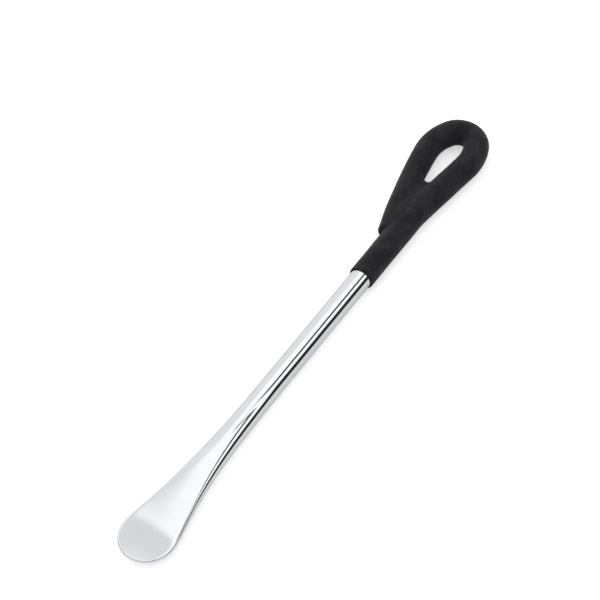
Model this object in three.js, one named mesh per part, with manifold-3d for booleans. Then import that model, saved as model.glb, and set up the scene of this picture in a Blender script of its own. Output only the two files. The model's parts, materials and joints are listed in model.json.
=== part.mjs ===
// Spoon tyre lever: one length of forged steel bar, chrome plated. Its front is hammered out
// into a flat spoon blade, its middle stays a round shank, and its rear is bent round into an
// eye. The end of the bar is scarfed down on the flank of the shank and closed with two short
// fillets of weld. The eye and the rear of the shank are then dipped in black vinyl.
//
// Millimetres. The lever is drawn with X along the shank, 0 at the mouth of the grip and
// positive towards the eye, Z up out of the blade's face, and the eye bent round towards +Y.
// At the end it is set down on its grip, with the origin under the middle of the whole lever.

import * as THREE from 'three';
import { mergeVertices } from 'three/addons/utils/BufferGeometryUtils.js';
import Module from 'manifold-3d';

const wasm = await Module();
wasm.setup();

// Bar and shank
const shankDiameter = 9.5;
const bareShankLength = 68;    // round bar between the blade and the grip

// Blade
const bladeLength = 100.9;     // tip to the round shank
const bladeWidth = 23.6;
const noseLength = 12.4;       // tip to the widest place
const tipThickness = 2;
const tipDrop = 0.5;           // middle of the tip below the middle of the shank
const backFlatLength = 40;     // flat stretch of the blade's back, from the tip
const edgeRoll = 1;            // depth over which the tip's edge is rolled off
const squareness = 0.5;        // how far the flattest section is from a full round

// Reach of the handles that shape the blade's curves, as shares of the blade's length
const flareFront = 0.09;
const flareRear = 0.67;
const faceFront = 0.3;
const faceRear = 0.5;
const backRise = 0.3;

// Eye, along the middle of the bar and starting at the mouth of the grip
const sleeveLength = 37.5;     // straight bar inside the grip
const offsetBendAngle = 7.2;   // degrees, away from the side the eye closes on
const offsetBendRadius = 76;
const eyeFlankLength = 31.5;
const shoulderRadius = 23;     // the bend eases in and out round the crown of the eye
const firstShoulderAngle = 33; // degrees, on the flank's side of the crown
const lastShoulderAngle = 39.5;
const crownRadius = 7.9;
const returnBendRadius = 440;  // the slow curve of the returning leg
const returnLength = 51.2;
const barEndDiameter = 7.9;    // the returning leg is drawn down to this
const barEndDome = 2.3;        // how far its end is rounded over
const scarfDepth = 5.17;       // how deep its end would run into the shank, if it weren't cut

// Weld
const weldLength = 18;
const weldWidth = 5.2;
const weldHeight = 4.4;
const weldSink = 0.35;         // top of the bead below the top of the shank
const weldSetback = 13;        // middle of the bead from the end of the bar

// Vinyl grip
const coatThickness = 0.8;
const webThickness = 6.4;      // vinyl bridging the crotch of the eye
const webReach = 24;           // straight bar's end to the edge of that web
const webHollow = 2;           // how far that edge is drawn in between the legs
const mouthRoll = 0.4;         // rounding of the mouth's edge

// Fits
const seamGap = 0.3;           // scarfed end to shank
const coatGap = 0.15;          // vinyl, and weld, to the bar

// Fineness of the facets
const barSides = 24;           // a multiple of four
const noseRings = 7;
const noseStart = 0.12;        // place of the first ring, in rings
const bladeRings = 20;
const bendStep = 2.8;          // along the bar, in the eye
const endRings = 3;
const endStop = 0.25;          // last ring to the pole of the domed end, in rings
const beadSides = 20;
const beadRings = 12;

const shankRadius = shankDiameter / 2;
const barEndRadius = barEndDiameter / 2;
const mouthAt = bladeLength + bareShankLength;

const chrome = new THREE.MeshStandardMaterial({ color: 0xdcdde0, roughness: 0.08, metalness: 1 });
const weldSteel = new THREE.MeshStandardMaterial({ color: 0x9d9a96, roughness: 0.45, metalness: 1 });
const vinyl = new THREE.MeshStandardMaterial({ color: 0x26262a, roughness: 0.85, metalness: 0 });

// ---- The line that the middle of the bar follows, in the plane of the eye ----

// A path of straight and bent stretches, each given by its length and how sharply it turns.
class BarPath {
  constructor(start, stretches) {
    this.start = start;
    this.stretches = stretches;
    this.length = stretches.reduce((sum, stretch) => sum + stretch.length, 0);
  }

  // The place and the heading at a distance along the bar.
  at(distance) {
    const place = this.start.clone();
    let heading = 0;
    let left = distance;
    this.stretches.forEach((stretch, index) => {
      const last = index === this.stretches.length - 1;
      const run = last ? left : Math.min(Math.max(left, 0), stretch.length);
      const turned = run * stretch.turn;
      const chord = turned === 0 ? run : (2 * Math.sin(turned / 2)) / stretch.turn;
      place.x += chord * Math.cos(heading + turned / 2);
      place.y += chord * Math.sin(heading + turned / 2);
      heading += turned;
      left -= run;
    });
    return { place, heading };
  }
}

function bend(radius, degrees) {
  const angle = THREE.MathUtils.degToRad(degrees);
  return { length: radius * Math.abs(angle), turn: Math.sign(angle) / radius };
}

// The bar's path when the crown of its eye is bent round by a number of degrees.
function pathWithEye(degrees) {
  return new BarPath(new THREE.Vector3(-mouthAt, 0, 0), [
    { length: mouthAt + sleeveLength, turn: 0 },
    bend(offsetBendRadius, -offsetBendAngle),
    { length: eyeFlankLength, turn: 0 },
    bend(shoulderRadius, firstShoulderAngle),
    bend(crownRadius, degrees),
    bend(shoulderRadius, lastShoulderAngle),
    { length: returnLength, turn: 1 / returnBendRadius },
  ]);
}

// The eye is bent round until the end of the bar lies against the shank, sunk in by its scarf.
function closedPath() {
  const endOffset = shankRadius + barEndRadius - scarfDepth;
  let open = 80;
  let closed = 170;
  for (let halving = 0; halving < 40; halving += 1) {
    const degrees = (open + closed) / 2;
    const path = pathWithEye(degrees);
    if (path.at(path.length).place.y > endOffset) open = degrees;
    else closed = degrees;
  }
  return pathWithEye(closed);
}

const barPath = closedPath();

const eyeStartAt = mouthAt + sleeveLength;
const bendStartAt = eyeStartAt + barPath.stretches[1].length + eyeFlankLength;
const crownAt = bendStartAt + barPath.stretches[3].length + barPath.stretches[4].length / 2;
const barEndAt = barPath.length;

// ---- Cross sections ----

// Height of a profile curve where its x is the given value; x rises along every profile here.
function heightOn(curve, x) {
  let low = 0;
  let high = 1;
  for (let halving = 0; halving < 40; halving += 1) {
    const middle = (low + high) / 2;
    if (curve.getPoint(middle).x < x) low = middle;
    else high = middle;
  }
  return curve.getPoint(high).y;
}

// An S-shaped profile, level at both ends, with the reach of its two handles.
function profile(from, to, reachFrom, reachTo) {
  return new THREE.CubicBezierCurve(
    from,
    new THREE.Vector2(from.x + reachFrom, from.y),
    new THREE.Vector2(to.x - reachTo, to.y),
    to,
  );
}

const flare = profile(
  new THREE.Vector2(noseLength, bladeWidth / 2),
  new THREE.Vector2(bladeLength, shankRadius),
  flareFront * bladeLength,
  flareRear * bladeLength,
);
const face = new THREE.CubicBezierCurve(
  new THREE.Vector2(0, tipThickness / 2 - tipDrop),
  new THREE.Vector2(faceFront * bladeLength, tipThickness / 2),
  new THREE.Vector2((1 - faceRear) * bladeLength, shankRadius),
  new THREE.Vector2(bladeLength, shankRadius),
);
const back = profile(
  new THREE.Vector2(backFlatLength, -tipThickness / 2 - tipDrop),
  new THREE.Vector2(bladeLength, -shankRadius),
  backRise * bladeLength,
  backRise * bladeLength,
);

// Half a dome's height at a distance in from its rim, as a share of the full height.
function dome(distance, reach) {
  const short = Math.max(1 - distance / reach, 0);
  return Math.sqrt(Math.max(1 - short * short, 0));
}

// The blade's section at a distance from the tip: its half width, face, back and corner radius.
function bladeSection(fromTip) {
  const half = fromTip < noseLength
    ? (bladeWidth / 2) * dome(fromTip, noseLength)
    : heightOn(flare, fromTip);
  const faceHeight = heightOn(face, fromTip);
  const backHeight = fromTip < backFlatLength ? back.v0.y : heightOn(back, fromTip);
  const middle = (faceHeight + backHeight) / 2;
  const depth = ((faceHeight - backHeight) / 2) * dome(fromTip, edgeRoll);
  const flatness = Math.sin((Math.PI * fromTip) / bladeLength) ** 2;
  const corner = Math.min(half, depth) * (1 - squareness * flatness);
  return { half, middle, depth, corner };
}

function roundSection(radius) {
  return { half: radius, middle: 0, depth: radius, corner: radius };
}

// Radius of the bar behind the blade: full up to the crown of the eye, then drawn down.
function barRadiusAt(distance) {
  const drawn = THREE.MathUtils.smoothstep(distance, crownAt, barEndAt);
  return THREE.MathUtils.lerp(shankRadius, barEndRadius, drawn);
}

// ---- Solids ----

// A closed skin through sections placed along the bar: a cylinder's rings, moved into place.
function skin(stations) {
  const rings = stations.length - 1;
  const geometry = new THREE.CylinderGeometry(1, 1, rings, barSides, rings);
  const points = geometry.attributes.position;
  for (let index = 0; index < points.count; index += 1) {
    const { distance, section } = stations[Math.round(rings / 2 - points.getY(index))];
    const { place, heading } = barPath.at(distance);
    const spread = Math.hypot(points.getX(index), points.getZ(index));
    const angle = Math.atan2(points.getX(index), points.getZ(index)) + Math.PI / barSides;
    const side = section.half - section.corner;
    const rise = section.depth - section.corner;
    const across = spread * (Math.sign(Math.cos(angle)) * side + Math.cos(angle) * section.corner);
    const up = spread * (Math.sign(Math.sin(angle)) * rise + Math.sin(angle) * section.corner);
    points.setXYZ(
      index,
      place.x + across * Math.sin(heading),
      place.y - across * Math.cos(heading),
      section.middle + up,
    );
  }
  return solid(geometry);
}

// A solid from a closed geometry.
function solid(geometry) {
  geometry.deleteAttribute('normal');
  geometry.deleteAttribute('uv');
  const merged = mergeVertices(geometry);
  return new wasm.Manifold(new wasm.Mesh({
    numProp: 3,
    vertProperties: new Float32Array(merged.attributes.position.array),
    triVerts: new Uint32Array(merged.index.array),
  }));
}

function geometryOf(manifold) {
  const mesh = manifold.getMesh();
  const geometry = new THREE.BufferGeometry();
  geometry.setAttribute('position', new THREE.BufferAttribute(mesh.vertProperties, 3));
  geometry.setIndex(new THREE.BufferAttribute(mesh.triVerts, 1));
  geometry.computeVertexNormals();
  return geometry;
}

// Distances from one place on the bar to another, in steps no longer than the bend step.
function stepsBetween(from, to) {
  const count = Math.max(1, Math.ceil((to - from) / bendStep));
  return Array.from({ length: count + 1 }, (_, index) => from + ((to - from) * index) / count);
}

// Stations of round bar, swollen by an allowance, from one distance to another.
function roundStations(from, to, allowance) {
  const straightEnd = Math.min(Math.max(eyeStartAt, from), to);
  const distances = from < straightEnd ? [from, straightEnd] : [from];
  distances.push(...stepsBetween(straightEnd, to).slice(1));
  return distances.map((distance) => ({
    distance,
    section: roundSection(barRadiusAt(distance) + allowance),
  }));
}

// The domed end of the returning leg, reaching a given length past the last full section.
function domedEnd(fullAt, reach, allowance) {
  return Array.from({ length: endRings }, (_, index) => {
    const angle = ((index + 1) / (endRings + endStop)) * (Math.PI / 2);
    return {
      distance: fullAt + reach * Math.sin(angle),
      section: roundSection((barEndRadius + allowance) * Math.cos(angle)),
    };
  });
}

// The front of the bar, from the tip to the crown of the eye.
function frontStations() {
  const stations = [];
  for (let ring = 0; ring < noseRings; ring += 1) {
    const angle = ((ring + noseStart) / noseRings) * (Math.PI / 2);
    stations.push(noseLength * (1 - Math.cos(angle)));
  }
  for (let ring = 0; ring < bladeRings; ring += 1) {
    stations.push(THREE.MathUtils.lerp(noseLength, bladeLength, ring / bladeRings));
  }
  const blade = stations.map((distance) => ({ distance, section: bladeSection(distance) }));
  return [...blade, ...roundStations(bladeLength, crownAt, 0)];
}

// The returning leg, from the crown of the eye to its domed end, swollen by an allowance.
function legStations(allowance) {
  const fullAt = barEndAt - barEndDome;
  return [
    ...roundStations(crownAt, fullAt, allowance),
    ...domedEnd(fullAt, barEndDome + allowance, allowance),
  ];
}

// Forged bar: the returning leg is cut away where it would run into the shank.
function buildBar() {
  const shankRoom = skin(roundStations(mouthAt, eyeStartAt + eyeFlankLength, seamGap));
  const leg = skin(legStations(0)).subtract(shankRoom);
  return skin(frontStations()).add(leg);
}

// The room that the rear of the bar takes up inside the vinyl, open at the mouth.
function barRoom() {
  const beforeMouth = mouthAt - 2;
  return skin(roundStations(beforeMouth, crownAt, coatGap)).add(skin(legStations(coatGap)));
}

// The uncut ellipsoid of a weld bead above (1) or below (-1) the seam, swollen by an allowance.
function beadBlank(side, allowance) {
  const legMiddle = barPath.at(barEndAt - weldSetback).place;
  const legEnd = barPath.at(barEndAt).place;
  const seamAngle = Math.atan2(legMiddle.y - legEnd.y, legMiddle.x - legEnd.x) / 2;
  const bead = new THREE.SphereGeometry(1, beadSides, beadRings);
  bead.scale(weldLength / 2 + allowance, weldWidth / 2 + allowance, weldHeight / 2 + allowance);
  bead.rotateZ(seamAngle);
  const middleHeight = shankRadius - weldSink - weldHeight / 2;
  bead.translate(legMiddle.x, legMiddle.y / 2, side * middleHeight);
  return solid(bead);
}

// One fillet of weld in the valley between the scarfed end and the shank.
function buildWeld(side) {
  return beadBlank(side, 0).subtract(barRoom());
}

// The vinyl that fills the crotch of the eye, from the end of the bar to its hollow edge.
function buildWeb() {
  const start = barPath.at(barEndAt).place;
  const flank = stepsBetween(mouthAt + start.x, eyeStartAt + webReach)
    .map((distance) => barPath.at(distance).place);
  const flankEnd = flank.at(-1);
  const leg = stepsBetween(crownAt, barEndAt)
    .map((distance) => barPath.at(distance).place)
    .filter((place) => place.x < flankEnd.x);
  const outline = new THREE.Shape(flank.map((place) => new THREE.Vector2(place.x, place.y)));
  const hollowX = flankEnd.x - 2 * webHollow;
  outline.quadraticCurveTo(hollowX, (flankEnd.y + leg[0].y) / 2, leg[0].x, leg[0].y);
  leg.forEach((place) => outline.lineTo(place.x, place.y));
  const web = new THREE.ExtrudeGeometry(outline, {
    depth: webThickness,
    bevelEnabled: false,
    curveSegments: 6,
  });
  web.translate(0, 0, -webThickness / 2);
  return solid(web);
}

function buildGrip() {
  const lip = { distance: mouthAt, section: roundSection(shankRadius + coatThickness - mouthRoll) };
  const flank = skin([lip, ...roundStations(mouthAt + mouthRoll, crownAt, coatThickness)]);
  const leg = skin(legStations(coatThickness));
  const outside = [leg, buildWeb(), beadBlank(1, coatThickness), beadBlank(-1, coatThickness)]
    .reduce((sum, piece) => sum.add(piece), flank);
  return outside
    .subtract(barRoom())
    .subtract(beadBlank(1, coatGap))
    .subtract(beadBlank(-1, coatGap));
}

function named(name, manifold, material) {
  const mesh = new THREE.Mesh(geometryOf(manifold), material);
  mesh.name = name;
  return mesh;
}

const lever = new THREE.Group();
lever.add(named('lever_bar', buildBar(), chrome));
lever.add(named('eye_weld_top', buildWeld(1), weldSteel));
lever.add(named('eye_weld_bottom', buildWeld(-1), weldSteel));
lever.add(named('grip', buildGrip(), vinyl));

// The origin goes to the bottom centre of the box round the lever.
const box = new THREE.Box3().setFromObject(lever, true);
const middle = box.getCenter(new THREE.Vector3());
lever.position.set(-middle.x, -middle.y, -box.min.z);

export default lever;
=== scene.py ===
"""A spoon tyre lever: a chromed, forged bar with its eye dipped in black vinyl.

The frame holds the plain solids. Each of them is replaced here by a finer piece of the same size:
the forged bar, two beads of weld and the dipped grip. Sizes are in millimetres, measured on the
lever itself: X along the shank from the mouth of the grip, positive towards the eye, Z up out of
the blade's face, and Y towards the leg of the eye that comes back to the shank.
"""

from __future__ import annotations

import json
import logging
import math
from dataclasses import dataclass, field
from enum import Enum
from functools import partial

import bmesh
import bpy
import numpy as np
from mathutils import Matrix, Vector, noise

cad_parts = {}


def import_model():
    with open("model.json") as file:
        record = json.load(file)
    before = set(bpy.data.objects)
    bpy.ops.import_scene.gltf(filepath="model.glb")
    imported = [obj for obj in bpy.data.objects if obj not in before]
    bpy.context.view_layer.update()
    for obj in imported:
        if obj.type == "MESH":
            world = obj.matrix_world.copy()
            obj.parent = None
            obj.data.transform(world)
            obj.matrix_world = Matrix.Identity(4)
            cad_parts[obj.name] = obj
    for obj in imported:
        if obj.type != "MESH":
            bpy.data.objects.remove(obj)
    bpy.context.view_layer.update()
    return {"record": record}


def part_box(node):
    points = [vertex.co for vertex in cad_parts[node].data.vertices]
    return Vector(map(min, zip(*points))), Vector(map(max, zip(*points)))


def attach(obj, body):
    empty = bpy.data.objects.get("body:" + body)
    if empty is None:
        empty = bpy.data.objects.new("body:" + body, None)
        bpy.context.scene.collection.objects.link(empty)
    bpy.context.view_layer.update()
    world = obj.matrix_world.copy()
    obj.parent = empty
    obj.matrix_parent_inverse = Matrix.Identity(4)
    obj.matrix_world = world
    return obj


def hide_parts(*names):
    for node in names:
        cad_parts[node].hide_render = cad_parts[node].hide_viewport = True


LOG = logging.getLogger("tyre_lever")
MM = 0.001
ROOT = "root"
WELD_GAP = 0.15


class Slot(Enum):
    """The record's material slots."""

    CHROME = "chrome_plate"
    WELD = "weld_steel"
    VINYL = "dipped_vinyl"


class Side(Enum):
    """The valley that a bead of weld lies in, above or below the middle of the bar."""

    TOP = 1
    BOTTOM = -1


# ---- Small tools ----


def linear(hex_colour: str) -> tuple[float, float, float, float]:
    """Turn an sRGB colour into the linear one that a shader takes.

    Args:
        hex_colour: Six hex digits after a hash sign.

    Returns:
        Red, green, blue and an alpha of 1.
    """
    shares = [int(hex_colour[start : start + 2], 16) / 255 for start in (1, 3, 5)]
    red, green, blue = (s / 12.92 if s <= 0.04045 else ((s + 0.055) / 1.055) ** 2.4 for s in shares)
    return red, green, blue, 1.0


def smooth(low: float, high: float, value: float | np.ndarray) -> float | np.ndarray:
    """Give an eased share, 0 up to `low` and 1 from `high`.

    Args:
        low: Where the rise starts.
        high: Where it ends.
        value: Where it is read, a number or an array.

    Returns:
        The share at `value`.
    """
    share = np.clip((value - low) / (high - low), 0.0, 1.0)
    return share * share * (3 - 2 * share)


def add_node(
    tree: bpy.types.NodeTree, kind: str, inputs: dict | None = None, **settings: object
) -> bpy.types.Node:
    """Add a node to a tree, set it up and link it.

    Args:
        tree: The tree that it goes in.
        kind: Its type name.
        inputs: For each input, by name or number, an output socket to link or a value to hold.
        settings: The node's own properties.

    Returns:
        The new node.
    """
    node = tree.nodes.new(kind)
    for name, value in settings.items():
        setattr(node, name, value)
    for key, value in (inputs or {}).items():
        socket = node.inputs[key]
        if isinstance(value, bpy.types.NodeSocket):
            tree.links.new(value, socket)
        else:
            socket.default_value = value
    return node


def maths(tree: bpy.types.NodeTree, kind: str, *numbers: object) -> bpy.types.NodeSocket:
    """Work out a number from up to three others, each a socket or a plain number."""
    return add_node(tree, "ShaderNodeMath", dict(enumerate(numbers)), operation=kind).outputs[0]


def vectors(tree: bpy.types.NodeTree, kind: str, inputs: dict) -> bpy.types.Node:
    """Add a vector maths node."""
    return add_node(tree, "ShaderNodeVectorMath", inputs, operation=kind)


def mixed(tree: bpy.types.NodeTree, share: object, low: object, high: object) -> bpy.types.NodeSocket:
    """Blend two numbers by a share, which may run past 0 and 1."""
    inputs = {0: share, 2: low, 3: high}
    return add_node(tree, "ShaderNodeMix", inputs, data_type="FLOAT", clamp_factor=False).outputs[0]


def open_tree(tree: bpy.types.NodeTree, inputs: dict[str, str], result: str) -> dict:
    """Declare what a geometry tree takes and gives.

    Args:
        tree: The new tree.
        inputs: For each input's name, the kind of its socket.
        result: The name of the geometry that comes out.

    Returns:
        The sockets that hand over the inputs.
    """
    for name, kind in inputs.items():
        tree.interface.new_socket(name=name, in_out="INPUT", socket_type=f"NodeSocket{kind}")
    tree.interface.new_socket(name=result, in_out="OUTPUT", socket_type="NodeSocketGeometry")
    return add_node(tree, "NodeGroupInput").outputs


def close_tree(tree: bpy.types.NodeTree, given: dict, geometry: object, result: str) -> None:
    """End a geometry tree: make its instances real, give them the material and hand them out.

    Args:
        tree: The tree.
        given: The sockets that hand over its inputs, the material among them.
        geometry: The geometry so far.
        result: The name of the geometry that comes out.
    """
    real = add_node(tree, "GeometryNodeRealizeInstances", {"Geometry": geometry})
    inputs = {"Geometry": real.outputs[0], "Material": given["Material"]}
    clad = add_node(tree, "GeometryNodeSetMaterial", inputs)
    add_node(tree, "NodeGroupOutput", {result: clad.outputs[0]})


def polyline(
    name: str, points: np.ndarray, facts: dict[str, np.ndarray], closed: bool = False
) -> bpy.types.Object:
    """Make a line of edges whose points carry named numbers and vectors.

    Args:
        name: The object's name.
        points: Its points, one row each.
        facts: For each attribute, one number or one vector for each point.
        closed: True for a loop.

    Returns:
        The line as an object.
    """
    count = len(points)
    edges = [(index, index + 1) for index in range(count - 1)]
    if closed:
        edges.append((count - 1, 0))
    mesh = bpy.data.meshes.new(name)
    mesh.from_pydata([tuple(point) for point in points], edges, [])
    for fact, values in facts.items():
        values = np.asarray(values, np.float32)
        kind, key = ("FLOAT_VECTOR", "vector") if values.ndim == 2 else ("FLOAT", "value")
        mesh.attributes.new(fact, kind, "POINT").data.foreach_set(key, values.ravel())
    return linked(name, mesh)


def linked(name: str, mesh: bpy.types.Mesh) -> bpy.types.Object:
    """Give a mesh an object in the scene, at the origin."""
    piece = bpy.data.objects.new(name, mesh)
    bpy.context.scene.collection.objects.link(piece)
    return piece


def settle(piece: bpy.types.Object) -> bpy.types.Object:
    """Turn a piece and its modifiers into a plain mesh with its faces pointing out.

    Args:
        piece: The object with its modifiers set up.

    Returns:
        The same object, with no modifiers left.
    """
    graph = bpy.context.evaluated_depsgraph_get()
    mesh = bpy.data.meshes.new_from_object(piece.evaluated_get(graph))
    piece.modifiers.clear()
    piece.data = mesh
    work = bmesh.new()
    work.from_mesh(mesh)
    if work.calc_volume(signed=True) < 0:
        bmesh.ops.reverse_faces(work, faces=work.faces)
    work.to_mesh(mesh)
    work.free()
    for fact in [a.name for a in mesh.attributes if not a.is_internal and not a.is_required]:
        mesh.attributes.remove(mesh.attributes[fact])
    mesh.shade_smooth()
    return piece


def shaped(piece: bpy.types.Object, tree: bpy.types.NodeTree, values: dict[str, object]) -> bpy.types.Object:
    """Run a piece through a geometry tree and keep the result as its plain mesh.

    Args:
        piece: The object that the tree starts from.
        tree: The geometry tree.
        values: The tree's inputs by name.

    Returns:
        The same object with the tree's result as its mesh.
    """
    modifier = piece.modifiers.new(tree.name, "NODES")
    modifier.node_group = tree
    sockets = {s.name: s.identifier for s in tree.interface.items_tree if s.in_out == "INPUT"}
    for name, value in values.items():
        modifier[sockets[name]] = value
    return settle(piece)


def carved(piece: bpy.types.Object, cutters: list[bpy.types.Object]) -> bpy.types.Object:
    """Cut other solids out of a piece.

    Args:
        piece: The solid that is cut.
        cutters: The solids taken away from it, which stay as they are.

    Returns:
        The same piece, cut.
    """
    for cutter in cutters:
        cut = piece.modifiers.new("cut", "BOOLEAN")
        cut.operation = "DIFFERENCE"
        cut.solver = "MANIFOLD"
        cut.object = cutter
    return settle(piece)


def discard(pieces: list[bpy.types.Object]) -> None:
    """Remove objects that only helped to make others."""
    for piece in pieces:
        bpy.data.objects.remove(piece)


def hand_over(piece: bpy.types.Object, node: str, material: bpy.types.Material) -> None:
    """Dress a finished piece, ride it on the frame and let it stand for its solid.

    Args:
        piece: The finished piece.
        node: The name of the solid that it stands for.
        material: Its material.
    """
    piece.data.materials.clear()
    piece.data.materials.append(material)
    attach(piece, ROOT)
    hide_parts(node)
    LOG.info("%s: %d faces for %s", piece.name, len(piece.data.polygons), node)


# ---- Finishes ----


class Finish:
    """A material being made: its tree, its shader and the object's own coordinates."""

    def __init__(self, name: str, metallic: float = 0.0) -> None:
        """Start a material.

        Args:
            name: The material's name, which says its real finish.
            metallic: 1 for bare metal.
        """
        self.material = bpy.data.materials.new(name)
        self.material.use_nodes = True
        self.tree = self.material.node_tree
        self.shader = self.tree.nodes["Principled BSDF"]
        self.place = add_node(self.tree, "ShaderNodeTexCoord").outputs["Object"]
        self.hold("Metallic", metallic)

    def hold(self, socket: str, value: object) -> None:
        """Set one of the shader's inputs to a plain value, or link it to a node.

        Args:
            socket: The input's name.
            value: The plain value, or the output socket of a node.
        """
        if isinstance(value, bpy.types.NodeSocket):
            self.tree.links.new(value, self.shader.inputs[socket])
        else:
            self.shader.inputs[socket].default_value = value

    def noise(self, size: float, detail: float, roughness: float = 0.5) -> bpy.types.NodeSocket:
        """Make a noise whose features are a given number of millimetres across."""
        inputs = {"Vector": self.place, "Scale": 1 / (size * MM), "Detail": detail, "Roughness": roughness}
        return add_node(self.tree, "ShaderNodeTexNoise", inputs).outputs["Fac"]

    def tint(self, share: bpy.types.NodeSocket, low: str, high: str) -> None:
        """Colour the shader between two sRGB colours by a share."""
        # A colour mix has its colours in sockets 6 and 7 and gives the result in socket 2.
        inputs = {0: share, 6: linear(low), 7: linear(high)}
        self.hold("Base Color", add_node(self.tree, "ShaderNodeMix", inputs, data_type="RGBA").outputs[2])

    def spread(self, value: bpy.types.NodeSocket, **limits: float) -> bpy.types.NodeSocket:
        """Map a number from one range to another; the range's ends are the node's own names."""
        inputs = {"Value": value} | {key.replace("_", " "): limit for key, limit in limits.items()}
        return add_node(self.tree, "ShaderNodeMapRange", inputs).outputs["Result"]

    def bump(self, height: bpy.types.NodeSocket, depth: float) -> None:
        """Raise the surface by a number of millimetres."""
        inputs = {"Height": height, "Strength": 1.0, "Distance": depth * MM}
        self.hold("Normal", add_node(self.tree, "ShaderNodeBump", inputs).outputs["Normal"])


@dataclass(frozen=True)
class ChromePlate:
    """Bright decorative chrome over nickel on forged, belt-polished steel.

    It gives the eye hard, mirror-like reflections in a cool pale grey. The polish under it leaves
    them a little uneven over the width of a finger, and hairlines run along the bar.
    """

    bright: str = "#EDEEF1"
    dull: str = "#E4E5E9"
    roughness_low: float = 0.05
    roughness_high: float = 0.1
    hairline_low: float = 0.3
    hairline_high: float = 0.75
    cloud_size: float = 14.0
    ripple_size: float = 22.0
    ripple_height: float = 0.012
    hairline_pitch: float = 0.35
    hairline_length: float = 30.0

    def material(self) -> bpy.types.Material:
        """Build the material."""
        made = Finish("decorative_chrome_plate", metallic=1.0)
        made.tint(made.noise(self.cloud_size, 3.0), self.dull, self.bright)
        fine = 1 / (self.hairline_pitch * MM)
        along = (1 / (self.hairline_length * MM), fine, fine)
        stretched = add_node(made.tree, "ShaderNodeMapping", {"Vector": made.place, "Scale": along})
        inputs = {"Vector": stretched.outputs["Vector"], "Scale": 1.0, "Detail": 2.0}
        hairline = add_node(made.tree, "ShaderNodeTexNoise", inputs).outputs["Fac"]
        roughness = made.spread(
            hairline,
            From_Min=self.hairline_low,
            From_Max=self.hairline_high,
            To_Min=self.roughness_low,
            To_Max=self.roughness_high,
        )
        made.hold("Roughness", roughness)
        made.bump(made.noise(self.ripple_size, 0.0), self.ripple_height)
        return made.material


@dataclass(frozen=True)
class WeldSteel:
    """A fillet of weld, wire-brushed and left bare under the vinyl.

    It gives the eye dull grey metal, straw and blue-brown where the heat has coloured it.
    """

    steel: str = "#A3A09B"
    straw: str = "#8C7A5E"
    heat_size: float = 5.0
    grain_size: float = 0.4
    grain_height: float = 0.03
    roughness: float = 0.42

    def material(self) -> bpy.types.Material:
        """Build the material."""
        made = Finish("wire_brushed_weld_steel", metallic=1.0)
        made.hold("Roughness", self.roughness)
        made.tint(made.noise(self.heat_size, 2.0), self.steel, self.straw)
        made.bump(made.noise(self.grain_size, 3.0), self.grain_height)
        return made.material


@dataclass(frozen=True)
class DippedVinyl:
    """Black plastisol vinyl with a sandy skin, dipped and cured.

    It gives the eye a matte, faintly bluish black that lifts to charcoal where light grazes it,
    with a fine speckle. The speckle is partly painted shade and light: the colour is darker in the
    pits of the grit's bump and lighter on its crests, with a broader random cloud of tone over it.
    The grit is drawn a little coarser than it is, so that it shows.
    """

    # Painted shade and light on the grit: the colour of its pits and of its crests, and the noise levels
    # where each is reached.
    shaded_pit: str = "#0B0B0F"
    lit_crest: str = "#25252B"
    grit_size: float = 0.75
    grit_height: float = 0.5
    grit_roughness: float = 0.6
    cloud_size: float = 6.0
    shaded_pit_level: float = 0.82
    lit_crest_level: float = 1.2
    roughness: float = 0.8
    specular: float = 0.3
    sheen: float = 0.16
    sheen_roughness: float = 0.35

    def material(self) -> bpy.types.Material:
        """Build the material."""
        made = Finish("dipped_plastisol_vinyl")
        made.hold("Roughness", self.roughness)
        made.hold("Specular IOR Level", self.specular)
        made.hold("Sheen Weight", self.sheen)
        made.hold("Sheen Roughness", self.sheen_roughness)
        # Painted shade and light: the grit that bumps the skin also tints it, darker in its pits and lighter
        # on its crests; the broader cloud varies the tone at random.
        grit = made.noise(self.grit_size, 3.0, self.grit_roughness)
        both = maths(made.tree, "ADD", grit, made.noise(self.cloud_size, 2.0))
        share = made.spread(both, From_Min=self.shaded_pit_level, From_Max=self.lit_crest_level)
        made.tint(share, self.shaded_pit, self.lit_crest)
        made.bump(grit, self.grit_height)
        return made.material


# ---- The bar ----


@dataclass(frozen=True)
class Stretch:
    """A straight or evenly bent stretch of bar."""

    length: float
    turn: float = 0.0


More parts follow.
